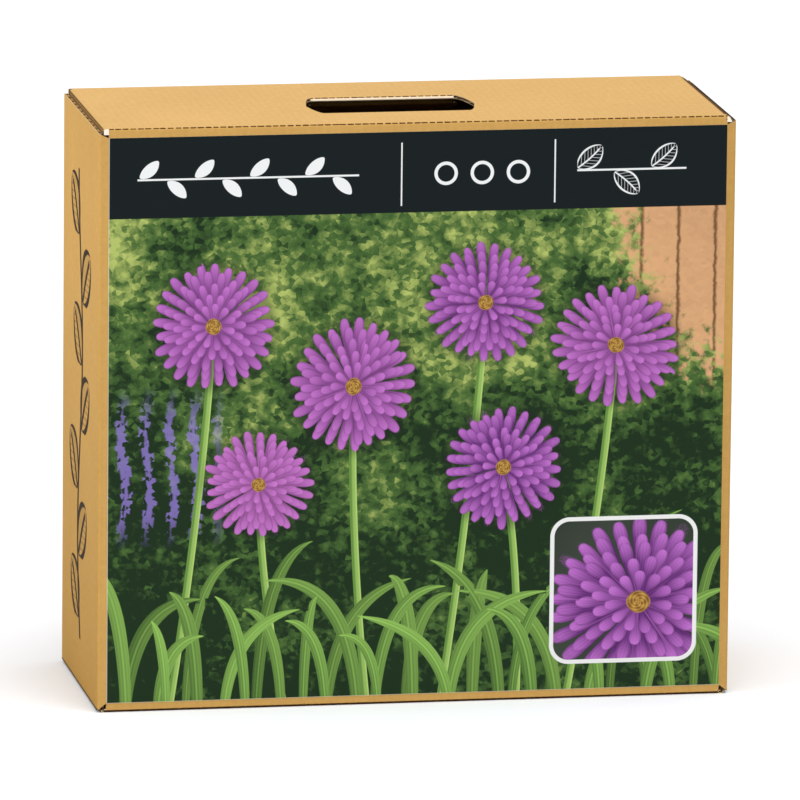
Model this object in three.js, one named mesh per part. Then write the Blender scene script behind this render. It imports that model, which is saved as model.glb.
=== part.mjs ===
// A flat carry carton of kraft E-flute corrugated board, with a hand hole in its top and a printed sheet on its front.
// Millimetres. +Z is up, the front looks along -Y, and the origin is at the middle of the base, on the floor.
// The blank is a tray stood on its side: the front panel is the tray's floor, its four walls run back from it,
// and the back panel is the lid, creased to the rear edge of the top wall and tucked in above the bottom wall.
import * as THREE from "three";

// Driving dimensions.
const WIDTH = 290;
const DEPTH = 106;
const HEIGHT = 267;
const BOARD = 1.6; // E-flute board: two liners with small flutes between them
const SHEET = 0.2; // the printed paper
const GAP = 0.3; // between layers of board that lie against each other
const MARGIN = 4.2; // bare board round the printed sheet

const SIDE_TOP_DROP = 2.4; // the side walls end this far below the top
const SIDE_FOOT = 1.0; // and this far above the floor
const NOTCH_FOOT = 1.4; // where the lower corner notches meet the upright folds

const GLUE_FLAP = 36; // reach of the flaps that join the walls at the four corners
const GLUE_FLAP_TAPER = 6;
const GLUE_FLAP_FRONT_CLEARANCE = 1;
const GLUE_FLAP_REAR_CLEARANCE = 2.5;
const GLUE_LENGTH = 70;
const GLUE_HEIGHT = 12;

const LID_LIFT = 1.3; // slack between the tucked lid and the bottom wall
const LID_EAR = 45; // reach of the lid's side flaps
const LID_EAR_END = 46; // from the ear's ends to the floor and to the top
const LID_EAR_TAPER = 12;
const TUCK_FLAP = 22;
const TUCK_FLAP_END_CLEARANCE = 4.1;
const FLAP_CORNER = 6; // corner radius of the free flaps

const SLOT_X = -5.2; // the middle of the hand hole
const SLOT_TIP_Y = -7; // the line between its two pointed ends
const SLOT_LENGTH = 77;
const SLOT_STRAIGHT = 66;
const SLOT_FRONT_REACH = 18; // from the line of the tips to the front edge
const SLOT_REAR_REACH = 20.5; // and to the crease of its flap
const SLOT_KERF = 0.4; // clearance round the flap when it is swung back into the hole
const SLOT_FLAP_FOLD = THREE.MathUtils.degToRad(165); // how far the flap is folded under at rest

const CORNER_STEPS = 6; // straight pieces in each rounded corner

// Worked out from them.
const HALF_WIDTH = WIDTH / 2;
const LAYER_X = HALF_WIDTH - BOARD - GAP; // the outer face of everything that lies inside the side walls
const FRONT_FACE = -DEPTH / 2 + SHEET;
const FRONT_BACK = FRONT_FACE + BOARD;
const REAR = DEPTH / 2;
const LID_FACE = REAR - BOARD;
const MITRE_GAP = GAP / Math.SQRT2;
const LID_FOOT = BOARD + LID_LIFT;
const PRINT_X = HALF_WIDTH - MARGIN;
const SLOT_CREASE_Y = SLOT_TIP_Y + SLOT_REAR_REACH;

const kraft = (colour = 0xcda45f) =>
  new THREE.MeshStandardMaterial({ color: colour, roughness: 0.85, metalness: 0 });

function outline(points) {
  return new THREE.Shape(points.map(([x, y]) => new THREE.Vector2(x, y)));
}

function slab(shape, thickness) {
  return new THREE.ExtrudeGeometry(shape, { depth: thickness, bevelEnabled: false });
}

function named(name, geometry, material) {
  const mesh = new THREE.Mesh(geometry, material);
  mesh.name = name;
  return mesh;
}

// A board that lies flat: its shape is drawn in x and y, and it rises from z.
function flatBoard(name, shape, z, material = kraft()) {
  const mesh = named(name, slab(shape, BOARD), material);
  mesh.position.z = z;
  return mesh;
}

// A board that faces front or back: its shape is drawn in x and z, and it reaches forward from y.
function facingBoard(name, shape, y, material = kraft(), thickness = BOARD) {
  const mesh = named(name, slab(shape, thickness), material);
  mesh.rotation.x = Math.PI / 2;
  mesh.position.y = y;
  return mesh;
}

// A board that faces sideways: its shape is drawn in y and z, and it reaches to +x from x.
function sideBoard(name, shape, x, material = kraft(), thickness = BOARD) {
  const mesh = named(name, slab(shape, thickness), material);
  mesh.rotation.set(Math.PI / 2, Math.PI / 2, 0);
  mesh.position.x = x;
  return mesh;
}

function rectangle(x0, y0, x1, y1) {
  return outline([
    [x0, y0],
    [x1, y0],
    [x1, y1],
    [x0, y1],
  ]);
}

// Slants the end of a slab at 45 degrees: the corners on one of its faces, along the edge where y is `edge`,
// are drawn back by one board thickness.
function mitre(geometry, edge, faceZ) {
  const corners = geometry.getAttribute("position");
  for (let i = 0; i < corners.count; i++) {
    const onEdge = Math.abs(corners.getY(i) - edge) < 1e-3;
    const onFace = Math.abs(corners.getZ(i) - faceZ) < 1e-3;
    if (onEdge && onFace) corners.setY(i, edge - BOARD);
  }
}

// The front panel, with the notch at each corner where the four creases meet.
function frontPanel() {
  const left = [
    [-PRINT_X, HEIGHT],
    [-PRINT_X, HEIGHT - MARGIN],
    [-HALF_WIDTH, HEIGHT - SIDE_TOP_DROP],
    [-HALF_WIDTH, NOTCH_FOOT],
    [-PRINT_X, MARGIN],
    [-PRINT_X, 0],
  ];
  const right = left.map(([x, z]) => [-x, z]).reverse();
  return facingBoard("front_panel", outline([...left, ...right]), FRONT_BACK);
}

function printedSheet() {
  const shape = rectangle(-PRINT_X, MARGIN, PRINT_X, HEIGHT - MARGIN);
  const ink = new THREE.MeshStandardMaterial({ color: 0x4c6b3c, roughness: 0.5, metalness: 0 });
  return facingBoard("printed_sheet", shape, FRONT_FACE, ink, SHEET);
}

// The outline that the top and bottom walls share. A small tab at each front corner fills the front panel's notch.
function wallOutline(rear) {
  const tab = PRINT_X + GAP;
  const left = [
    [-LAYER_X, rear],
    [-LAYER_X, FRONT_FACE],
    [-tab, FRONT_FACE],
    [-tab, FRONT_BACK],
  ];
  const right = left.map(([x, y]) => [-x, y]).reverse();
  return outline([...left, ...right]);
}

// The outline of the hand hole, with its middle between the two pointed ends. It is drawn `inset` smaller for the
// flap that was cut from it.
function slotOutline(inset) {
  const tip = SLOT_LENGTH / 2 - inset;
  const corner = SLOT_STRAIGHT / 2 - inset;
  const bend = (tip + corner) / 2;
  const front = inset - SLOT_FRONT_REACH;
  const rear = SLOT_REAR_REACH - inset;
  const path = new THREE.Path();
  path.moveTo(tip, 0);
  path.quadraticCurveTo(bend, rear, corner, rear);
  path.lineTo(-corner, rear);
  path.quadraticCurveTo(-bend, rear, -tip, 0);
  path.quadraticCurveTo(-bend, front, -corner, front);
  path.lineTo(corner, front);
  path.quadraticCurveTo(bend, front, tip, 0);
  return path.getPoints(CORNER_STEPS);
}

// The top wall. Its rear edge is the lid's crease, slanted so that the lid can close against it.
function topPanel() {
  const rear = REAR - MITRE_GAP;
  const shape = wallOutline(rear);
  const hole = slotOutline(0).map((p) => new THREE.Vector2(p.x + SLOT_X, p.y + SLOT_TIP_Y));
  shape.holes.push(new THREE.Path(hole));
  const mesh = flatBoard("top_panel", shape, HEIGHT - BOARD);
  mitre(mesh.geometry, rear, 0);
  return mesh;
}

function bottomPanel() {
  return flatBoard("bottom_panel", wallOutline(REAR), 0);
}

function sidePanel(name, side) {
  const shape = rectangle(FRONT_BACK, SIDE_FOOT, REAR, HEIGHT - SIDE_TOP_DROP);
  return sideBoard(name, shape, side < 0 ? -HALF_WIDTH : HALF_WIDTH - BOARD);
}

// A corner flap is creased to an end of the top or bottom wall and lies against the inside of a side wall.
function glueFlap(name, side, upper) {
  const root = upper ? HEIGHT - BOARD : BOARD;
  const free = upper ? root - GLUE_FLAP : root + GLUE_FLAP;
  const front = FRONT_BACK + GLUE_FLAP_FRONT_CLEARANCE;
  const rear = LID_FACE - GLUE_FLAP_REAR_CLEARANCE;
  const shape = outline([
    [front, root],
    [front + GLUE_FLAP_TAPER, free],
    [rear - GLUE_FLAP_TAPER, free],
    [rear, root],
  ]);
  return sideBoard(name, shape, side < 0 ? -LAYER_X : LAYER_X - BOARD);
}

// The line of glue between a corner flap and the side wall.
function glueLine(name, side, upper) {
  const middle = upper ? HEIGHT - BOARD - GLUE_FLAP / 2 : BOARD + GLUE_FLAP / 2;
  const shape = rectangle(
    -GLUE_LENGTH / 2,
    middle - GLUE_HEIGHT / 2,
    GLUE_LENGTH / 2,
    middle + GLUE_HEIGHT / 2,
  );
  const glue = new THREE.MeshStandardMaterial({ color: 0xe6dcc0, roughness: 0.35, metalness: 0 });
  return sideBoard(name, shape, side < 0 ? -HALF_WIDTH + BOARD : LAYER_X, glue, GAP);
}

function backLid() {
  const top = HEIGHT - MITRE_GAP;
  const shape = rectangle(-LAYER_X, LID_FOOT, LAYER_X, top);
  const mesh = facingBoard("back_lid", shape, REAR);
  mitre(mesh.geometry, top, BOARD);
  return mesh;
}

// The outline of a flap with a straight root, slanted ends and two rounded free corners. It is drawn with u along
// the root and v away from it, and place(u, v) turns that into the board's own two directions.
function flapOutline(rootStart, rootEnd, reach, taper, place) {
  const path = new THREE.Path();
  const drawnIn = taper * (1 - FLAP_CORNER / reach);
  path.moveTo(rootStart, 0);
  path.lineTo(rootEnd, 0);
  path.lineTo(rootEnd - drawnIn, reach - FLAP_CORNER);
  path.quadraticCurveTo(rootEnd - taper, reach, rootEnd - taper - FLAP_CORNER, reach);
  path.lineTo(rootStart + taper + FLAP_CORNER, reach);
  path.quadraticCurveTo(rootStart + taper, reach, rootStart + drawnIn, reach - FLAP_CORNER);
  return outline(path.getPoints(CORNER_STEPS).map((p) => place(p.x, p.y)));
}

// The lid's side flaps reach forward inside the side walls, in the same layer as the corner flaps.
function lidEar(name, side) {
  const place = (u, v) => [LID_FACE - GAP - v, u];
  const shape = flapOutline(LID_EAR_END, HEIGHT - LID_EAR_END, LID_EAR, LID_EAR_TAPER, place);
  return sideBoard(name, shape, side < 0 ? -LAYER_X : LAYER_X - BOARD);
}

// The lid's tuck flap reaches forward over the bottom wall.
function tuckFlap() {
  const end = LAYER_X - TUCK_FLAP_END_CLEARANCE;
  const place = (u, v) => [u, LID_FACE - GAP - v];
  return flatBoard("lid_tuck_flap", flapOutline(-end, end, TUCK_FLAP, FLAP_CORNER, place), LID_FOOT);
}

// The flap cut from the hand hole, swung down and back about the crease along the hole's rear edge.
function slotFlap() {
  const shape = outline(slotOutline(SLOT_KERF).map((p) => [p.x, p.y - SLOT_REAR_REACH]));
  const crease = new THREE.Group();
  crease.position.set(SLOT_X, SLOT_CREASE_Y, HEIGHT - BOARD);
  crease.rotation.x = SLOT_FLAP_FOLD;
  crease.add(named("hand_hole_flap", slab(shape, BOARD), kraft()));
  return crease;
}

const carton = new THREE.Group();
carton.add(frontPanel(), printedSheet(), topPanel(), bottomPanel(), backLid(), tuckFlap(), slotFlap());
for (const [hand, side] of [
  ["left", -1],
  ["right", 1],
]) {
  carton.add(sidePanel(`${hand}_side_panel`, side), lidEar(`${hand}_lid_ear`, side));
  for (const [level, upper] of [
    ["upper", true],
    ["lower", false],
  ]) {
    carton.add(glueFlap(`${level}_${hand}_corner_flap`, side, upper));
    carton.add(glueLine(`${level}_${hand}_glue_line`, side, upper));
  }
}

export default carton;
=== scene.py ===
from functools import partialmethod
from math import copysign, cos, exp, pi, radians, sin

import bmesh
import bpy
import numpy as np
from mathutils import Matrix, Vector


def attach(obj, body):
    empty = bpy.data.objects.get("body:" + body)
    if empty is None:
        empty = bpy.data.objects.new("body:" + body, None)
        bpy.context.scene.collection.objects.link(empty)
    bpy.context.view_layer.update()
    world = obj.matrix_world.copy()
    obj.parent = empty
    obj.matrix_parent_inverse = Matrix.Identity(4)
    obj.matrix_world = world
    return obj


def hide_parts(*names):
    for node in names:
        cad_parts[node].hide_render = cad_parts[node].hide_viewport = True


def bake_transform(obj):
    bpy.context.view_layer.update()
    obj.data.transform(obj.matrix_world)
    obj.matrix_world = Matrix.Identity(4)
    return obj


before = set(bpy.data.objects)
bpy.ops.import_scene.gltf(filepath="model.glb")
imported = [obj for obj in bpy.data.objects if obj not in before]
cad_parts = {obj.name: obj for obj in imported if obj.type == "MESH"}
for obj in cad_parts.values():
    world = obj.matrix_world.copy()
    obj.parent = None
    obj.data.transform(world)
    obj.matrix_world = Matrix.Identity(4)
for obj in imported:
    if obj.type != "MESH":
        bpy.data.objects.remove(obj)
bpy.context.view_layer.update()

# A kraft corrugated carry carton. Lengths in this script are millimetres; MM turns them into metres.
MM = 0.001
WALL_X, REAR, HEIGHT = 145.0, 53.0, 267.0
BOARD, LINER, MEDIUM = 1.6, 0.25, 0.18  # how thick the board, its two liners and the fluting's paper are
PITCH = 3.39  # from one flute to the next
COLUMNS = 10  # mesh columns for each flute
SINK = 0.03  # how far the flutes' crests sink into the liners
REACH = 3.0  # from a crease across the flutes to where they start
MARGIN = 4.2  # bare board round the printed sheet
LAYER_X = 143.1  # outer face of the flaps that lie inside the side walls
FRONT, SHEET_FACE = -52.8, -53.0  # outer faces of the front board and of the sheet glued to it
PRINT_X = WALL_X - MARGIN
PRINT_FOOT, PRINT_TOP = MARGIN, HEIGHT - MARGIN
SIDE_FOOT, SIDE_TOP = 1.0, 264.6  # the side walls' lower and upper edges
FOLD = 1.4  # outer radius of the upright folds beside the front
LEFT_END, RIGHT_END = 1.1, 3.8  # and of the top wall's two ends, of which the right one is looser
GLUE_FLAP, GLUE_TAPER, GLUE_FRONT, GLUE_REAR = 36.0, 6.0, -50.2, 48.9  # the corner flaps
LID_FACE, LID_FOOT = 51.4, 2.9  # the lid's inner face and its lower edge
EAR_FOOT, EAR_TOP, EAR, EAR_TAPER = 46.0, 221.0, 45.0, 12.0
TUCK_X, TUCK = 139.0, 22.0
FLAP_GAP, FLAP_CORNER = 0.3, 6.0  # a free flap's gap at its root and the radius of its corners
CREASE_LEFT, CREASE_RIGHT = -141.7, 140.4  # ends of the crease between the top and the lid
SLOT_X, SLOT_TIP_Y, SLOT_CREASE_Y = -5.2, -7.0, 13.5  # the hand hole's middle, line of tips and crease
SLOT_TIP, SLOT_STRAIGHT = 38.5, 33.0  # half the length of the whole hole and of its straight edges
SLOT_FRONT, SLOT_REAR, SLOT_KERF = 18.0, 20.5, 0.4
SLOT_FOLD = radians(165)

OUTSIDE, INSIDE, CUT, FLUTING = range(4)


def new_object(name, data):
    made = bpy.data.objects.new(name, data)
    bpy.context.scene.collection.objects.link(made)
    return made


class Board:
    """Collects closed shells of paper into one mesh. Each point keeps the flutes counted along the board, how
    hard it is pressed at a crease, which darkens its pockets as painted shade, how pale its skin is where
    stretched or cut, at the hand hole's crease partly as a painted highlight, and how much painted shade it
    takes."""

    def __init__(self):
        self.points, self.faces, self.skins = [], [], []
        self.marks = {"flute": [], "press": [], "pale": [], "painted_shade": []}

    def shell(self, near, far, skins, cells=None, flute=None, press=None, pale=None, painted_shade=None):
        """near and far are grids of places, columns by rows, and cells says which squares are board. skins is
        for the near side, the far side and the walls between them."""
        columns, rows = near.shape[:2]
        cells = np.ones((columns - 1, rows - 1), bool) if cells is None else cells
        none = np.zeros((columns, rows))
        flute = none[:, 0] if flute is None else flute
        skin_marks = [none if v is None else v for v in (press, pale, painted_shade)]
        seen = {}

        def corner(side, i, j):
            place = (far if side else near)[i, j]
            key = (side, *np.round(place, 4))
            if key not in seen:
                seen[key] = len(self.points)
                self.points.append(place)
                near_only = [v[i, j] * (not side) for v in skin_marks]
                for values, value in zip(self.marks.values(), (flute[i], *near_only)):
                    values.append(value)
            return seen[key]

        def add(corners, skin):
            corners = list(dict.fromkeys(corners))
            if len(corners) > 2:
                self.faces.append(corners)
                self.skins.append(skin)

        thin = np.abs(near[:, 1:] - near[:, :-1]).max(-1) < 1e-5
        empty = thin[:-1] & thin[1:]

        def open_at(i, j, step):
            while 0 <= j < rows - 1 and empty[i, j]:
                j += step
            return not (0 <= j < rows - 1 and cells[i, j])

        for i in range(columns - 1):
            for j in range(rows - 1):
                if not cells[i, j] or empty[i, j]:
                    continue
                square = [(i, j), (i + 1, j), (i + 1, j + 1), (i, j + 1)]
                add([corner(0, *c) for c in square], skins[0])
                add([corner(1, *c) for c in reversed(square)], skins[1])
                walls = (
                    (0, 1, open_at(i, j - 1, -1)), (2, 3, open_at(i, j + 1, 1)),
                    (3, 0, i == 0 or not cells[i - 1, j]), (1, 2, i == columns - 2 or not cells[i + 1, j]),
                )
                for a, b, bare in walls:
                    if bare:
                        around = ((0, b), (0, a), (1, a), (1, b))
                        add([corner(side, *square[k]) for side, k in around], skins[2])

    def finish(self, name, body, *nodes, slot="kraft_board", materials=None, angle=40, start=None, end=None):
        """Makes the piece. It rides on a body, or with start it keeps its place and rides on none. end is not
        used.
        """
        mesh = bpy.data.meshes.new(name)
        mesh.from_pydata((np.array(self.points) * MM).tolist(), [], self.faces)
        for m in materials or board_skins:
            mesh.materials.append(m)
        mesh.polygons.foreach_set("material_index", self.skins)
        for mark, values in self.marks.items():
            attribute = mesh.attributes.new(mark, "FLOAT", "POINT")
            attribute.data.foreach_set("value", np.array(values, np.float32))
        work = bmesh.new()
        work.from_mesh(mesh)
        bmesh.ops.recalc_face_normals(work, faces=work.faces)
        work.to_mesh(mesh)
        work.free()
        mesh.shade_smooth()
        mesh.set_sharp_from_angle(angle=radians(angle))
        piece = new_object(name, mesh)
        if start:
            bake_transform(piece)
        else:
            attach(piece, body)
        if nodes:
            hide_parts(*nodes)
        return mesh


class Path:
    """A line through a board's cross-section, rounded where it folds: places of the outer face, the way out
    from them, the flutes counted along it, how far a fold bulges and how far it has turned."""

    def __init__(self, corners, radii=()):
        self.corners = np.array(corners, float)
        legs = np.diff(self.corners, axis=0)
        lengths = np.hypot(*legs.T)
        self.ways = legs / lengths[:, None]
        self.radii = radii
        self.before = np.array([0.0, *radii])
        straight = lengths - self.before - np.array([*radii, 0.0])
        stretches = [straight[0]]
        for radius, leg in zip(radii, straight[1:]):
            stretches += [radius * pi / 2, leg]
        self.ends = np.concatenate([[0.0], np.cumsum(stretches)])

    def along(self, leg, distance):
        """How far along the path a place is, from its distance to the corner where its leg starts."""
        return self.ends[2 * leg] + distance - self.before[leg]

    def sample(self, *marks):
        """Works the line out at every mesh column, at its folds' ends and at the marks."""
        total = self.ends[-1]
        steps = np.arange(0, total, PITCH / COLUMNS)
        s = np.unique(np.round(np.concatenate([steps, self.ends, marks]), 5))
        self.s = s[(s >= 0) & (s <= total + 1e-6)]
        self.flute = self.s / PITCH
        self.spots, self.out = np.zeros((2, len(self.s), 2))
        self.bulge, self.turned = np.zeros((2, len(self.s)))
        for n, at in enumerate(self.s):
            k = min(int(np.searchsorted(self.ends[1:], at - 1e-6)), len(self.ends) - 2)
            leg, along = k // 2, at - self.ends[k]
            way = self.ways[leg]
            out = np.array([way[1], -way[0]])
            if k % 2 == 0:
                self.spots[n] = self.corners[leg] + way * (self.before[leg] + along)
                self.out[n] = out
                continue
            radius, ahead = self.radii[leg], self.ways[leg + 1]
            side = copysign(1, way[0] * ahead[1] - way[1] * ahead[0])
            turn = along / radius
            c, d = cos(turn), sin(turn) * side
            centre = self.corners[leg + 1] - way * radius - out * radius * side
            self.out[n] = out[0] * c - out[1] * d, out[0] * d + out[1] * c
            self.spots[n] = centre + self.out[n] * radius * side
            self.bulge[n] = 0.08 * radius * (1 - abs(cos(2 * turn)) ** 3)
            self.turned[n] = turn / (pi / 2)
        return self

    def cut(self, low, high):
        """The stretch of this path between two distances along it."""
        part = object.__new__(Path)
        keep = (self.s >= low - 1e-6) & (self.s <= high + 1e-6)
        for name in ("s", "flute", "spots", "out", "bulge", "turned"):
            setattr(part, name, getattr(self, name)[keep])
        return part

    def at(self, depth):
        """The line at a depth under the outer face. In a fold the board is crushed and bulges a little."""
        shift = self.bulge * (1 - depth / BOARD) - depth
        return self.spots + self.out * np.reshape(shift, (-1, 1))


def upright(p, q, t):
    """Flutes along z: the cross-section is in x and y."""
    return np.stack([p, q, t], -1)


def level(p, q, t):
    """Flutes along y: the cross-section is in x and z."""
    return np.stack([p, t, q], -1)


def fan(line, rows, place):
    """The grid of places where the points of a line, its columns, have the rows' values along the flutes."""
    return place(*(np.repeat(c[:, None], rows.shape[1], 1) for c in line.T), rows)


def layers(board, path, rows, place, cells=None, painted_shade=None):
    """Two liners and the waved fluting between them."""
    phase = 2 * pi * path.flute
    crest = BOARD / 2 - LINER - MEDIUM / 2 + SINK
    wave = BOARD / 2 - crest * np.cos(phase)
    slope = crest * 2 * pi / PITCH * np.sin(phase)
    half = MEDIUM / 2 * np.sqrt(1 + slope**2)
    same = np.ones(len(path.s))
    sheets = (
        (0.006 * (1 - np.cos(phase)), LINER * same, (OUTSIDE, FLUTING, CUT)),
        (wave - half, wave + half, (FLUTING, FLUTING, CUT)),
        ((BOARD - LINER) * same, BOARD * same, (FLUTING, INSIDE, CUT)),
    )
    for top, under, skins in sheets:
        near, far = (fan(path.at(depth), rows, place) for depth in (top, under))
        board.shell(near, far, skins, cells, path.flute, painted_shade=painted_shade if skins[0] == OUTSIDE else None)


def panel(name, body, path, rows, place, *nodes, cells=None, painted_shade=None):
    board = Board()
    layers(board, path, rows, place, cells, painted_shade)
    board.finish(name, body, *nodes)


def pockets(x, seed):
    """How hard a crease is pressed in at x: one pocket between each two flutes, none quite like the next."""
    draw = np.random.default_rng(seed)
    count = int(2 * WALL_X / PITCH) + 4
    strength, edge = draw.uniform(0.72, 1.0, count), np.cos(np.pi * draw.uniform(0.72, 0.93, count))
    shift = draw.uniform(-0.06, 0.06, count)
    turn = (x + WALL_X) / PITCH
    k = np.clip(np.floor(turn).astype(int), 0, count - 1)
    rise = np.clip((np.cos(2 * pi * (turn - 0.5 - shift[k])) - edge[k]) / 0.35 + 0.5, 0, 1)
    return strength[k] * rise


def crease(name, body, x0, x1, near, far, press, seed, depth=0.35, pale=0, painted_shade=0, **bend):
    """A strip of board along a crease across the flutes. near and far are its profile in y and z, and press
    says how much of the pockets each place of the profile takes."""
    near, far = np.array([near, far], float)
    x = np.unique(np.round(np.concatenate([np.arange(x0, x1, PITCH / COLUMNS / 1.2), [x1]]), 5))
    pressed = pockets(x, seed)[:, None] * press
    inward = far - near
    inward /= np.linalg.norm(inward, axis=1)[:, None]
    wide = np.repeat(x[:, None, None], len(near), 1)
    near = np.concatenate([wide, near + inward * pressed[..., None] * depth], -1)
    far = np.concatenate([wide, np.repeat(far[None], len(x), 0)], -1)
    skin_marks = (np.broadcast_to(v, pressed.shape) for v in (pale, painted_shade))
    board = Board()
    board.shell(near, far, (OUTSIDE, INSIDE, CUT), None, (x + WALL_X) / PITCH, pressed, *skin_marks)
    board.finish(name, body, **bend)


def square_crease(name, body, x0, x1, corner, a, b, seed, radius=1.0, lean=0.62, paints_shadow=False, **more):
    """The crease where two walls meet at a right angle; a and b point from the corner along them. Where the
    carton stands on it, its bend takes a painted contact shadow."""
    corner, a, b = (np.array(v, float) for v in (corner, a, b))
    inner = corner + (a + b) * BOARD
    flats, turns = np.array([REACH, 2.0, 1.5, 1.15])[:, None], 11  # places on each wall, and between them
    u = np.linspace(0, 1, turns)[:, None]
    bend = corner + (a + b) * radius - b * radius * np.cos(u * pi / 2) - a * radius * np.sin(u * pi / 2)
    under = np.maximum(flats - BOARD, 0)
    near = np.concatenate([corner + a * flats, bend, corner + b * flats[::-1]])
    far = np.concatenate([inner + a * under, np.repeat([inner], turns, 0), inner + b * under[::-1]])
    press = [0] * 4 + np.exp(-(((u[:, 0] - lean) / 0.32) ** 2)).tolist() + [0.5, 0, 0, 0]
    painted_shade = [0] * 6 + [paints_shadow * 1.0] * turns + [0] * 2
    crease(name, body, x0, x1, near, far, press, seed, painted_shade=painted_shade, **more)


def flap_line(reach, taper):
    """The slanted and rounded end of a free flap: how far in from its side, and how far from its root."""
    t = np.linspace(0, 1, 9)
    drawn_in = taper * (1 - FLAP_CORNER / reach)
    u = (1 - t) ** 2 * drawn_in + 2 * t * (1 - t) * taper + t**2 * (taper + FLAP_CORNER)
    v = reach - FLAP_CORNER * (1 - t) ** 2
    return np.concatenate([[0], u]), np.concatenate([[0], v])


# ---- materials


def feed(tree, socket, value):
    if isinstance(value, Field):
        tree.links.new(value.socket, socket)
    elif isinstance(value, tuple):
        socket.default_value = (*value, 1.0) if len(value) == 3 and len(socket.default_value) == 4 else value
    else:
        socket.default_value = value


class Nodes:
    """What adds nodes to a material."""

    def add(self, kind, inputs, output=0, **settings):
        """A new node with its settings and inputs, as the field of one of its outputs."""
        made = self.tree.nodes.new("ShaderNode" + kind)
        for name, value in settings.items():
            setattr(made, name, value)
        for name, value in inputs.items():
            feed(self.tree, made.inputs[name], value)
        return Field(self.tree, made.outputs[output])


class Field(Nodes):
    """A number, a vector or a colour that a material's nodes work out."""

    def __init__(self, tree, socket):
        self.tree, self.socket = tree, socket

    def do(self, operation, *others, clamp=False):
        inputs = dict(enumerate((self, *others)))
        return self.add("Math", inputs, operation=operation, use_clamp=clamp)

    __add__ = __radd__ = partialmethod(do, "ADD")
    __sub__ = partialmethod(do, "SUBTRACT")
    __mul__ = __rmul__ = partialmethod(do, "MULTIPLY")
    __truediv__ = partialmethod(do, "DIVIDE")
    __pow__ = partialmethod(do, "POWER")
    abs, sqrt = partialmethod(do, "ABSOLUTE"), partialmethod(do, "SQRT")
    sin, cos = partialmethod(do, "SINE"), partialmethod(do, "COSINE")
    floor, fract = partialmethod(do, "FLOOR"), partialmethod(do, "FRACT")
    most = partialmethod(do, "MAXIMUM")
    clamp = partialmethod(do, "ADD", 0.0, clamp=True)

    def __rsub__(self, other):
        return self * -1.0 + other

    def rise(self, low, high):
        """0 up to low, 1 from high, and smooth between. With low above high it falls."""
        # A smooth step only runs upwards, so a falling one is turned over.
        ends = dict(zip(("From Min", "From Max"), sorted((low, high))))
        ends["To Min"], ends["To Max"] = (0, 1) if low < high else (1, 0)
        return self.add("MapRange", {"Value": self, **ends}, "Result", interpolation_type="SMOOTHSTEP")

    def parts(self):
        return [Field(self.tree, s) for s in self.add("SeparateXYZ", {0: self}).socket.node.outputs]

    def stretch(self, *by):
        return self.add("VectorMath", {0: self, 1: by}, operation="MULTIPLY")

    def shift(self, *by):
        return self.add("VectorMath", {0: self, 1: by}, operation="ADD")

    def noise(self, scale, detail=2.0, roughness=0.5, distortion=0.0):
        looks = {"Scale": scale, "Detail": detail, "Roughness": roughness, "Distortion": distortion}
        return self.add("TexNoise", {"Vector": self, **looks})

    def cells(self, scale, feature="F1", output="Distance"):
        return self.add("TexVoronoi", {"Vector": self, "Scale": scale}, output, feature=feature)

    def random(self):
        """One random number for each whole number."""
        return self.add("TexWhiteNoise", {"W": self}, "Value", noise_dimensions="1D")


class Paint(Nodes):
    """A material. Its at is the place on the carton in millimetres, which moves with a piece's own body."""

    def __init__(self, name):
        self.material = bpy.data.materials.new(name)
        self.material.use_nodes = True
        self.tree = self.material.node_tree
        self.shader = self.tree.nodes["Principled BSDF"]
        self.at = self.add("TexCoord", {}, "Object").stretch(*[1 / MM] * 3)

    def mark(self, name, output="Fac"):
        return self.add("Attribute", {}, output, attribute_name=name)

    def mix(self, factor, a, b):
        return self.add("Mix", {0: factor, 6: a, 7: b}, 2, data_type="RGBA", clamp_factor=True)

    def shade(self, colour, amount):
        """A colour made darker or lighter by a number near 1."""
        return self.add("VectorMath", {0: colour, "Scale": amount}, operation="SCALE")

    def finish(self, colour, roughness, height=None, **settings):
        inputs = {"Base Color": colour, "Roughness": roughness}
        if height is not None:
            inputs["Normal"] = self.add("Bump", {"Distance": MM, "Height": height}, "Normal")
        for name, value in (*inputs.items(), *settings.items()):
            feed(self.tree, self.shader.inputs[name.replace("_", " ")], value)
        return self.material


def sprig(along, across, pitch, length, width, line, sway=0.0):
    """A stem with leaves on alternate sides. Gives where the leaves, their lines and the stem are."""
    wave = pitch * 0.9  # of the stem's sway
    middle = (along / wave).sin() * sway
    k = (along / pitch).floor()
    root = (k * pitch / wave).sin() * sway
    side = 1.0 - 2.0 * (k / 2.0).fract() * 2.0
    up = along - k * pitch
    out = (across - root) * side
    lean = radians(48)
    far = out * cos(lean) + up * sin(lean) - 0.06 * length
    bow = far / length - 0.5
    off = up * cos(lean) - out * sin(lean) + bow * bow * (0.16 * length)
    t = (far / length).clamp()
    hump = t * (1.0 - t) * 4.0  # 0 at both ends of a leaf, 1 in its middle
    inner = hump ** 0.75 * width - off.abs()
    within = far.rise(0, 0.3) * (length - far).rise(0, 0.3)
    leaf = inner.rise(-0.1, 0.15) * within
    pen = hump.sqrt() * (line * 0.8) + line * 0.2
    outline = (pen - inner.abs()).rise(-0.12, 0.12) * within
    rib = (line * 0.8 - off.abs()).rise(-0.1, 0.1) * within * (t * -1.0).rise(-0.92, -0.85)
    veins = (((far - off.abs() * 0.9) / (length * 0.13)).fract() - 0.5).abs().rise(0.46, 0.4)
    veins = (1.0 - veins) * inner.rise(0.1, 0.6) * within
    stem = (line - (across - middle).abs()).rise(-0.12, 0.12)
    return leaf, outline.most(rib).most(veins * 0.7), stem


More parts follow.
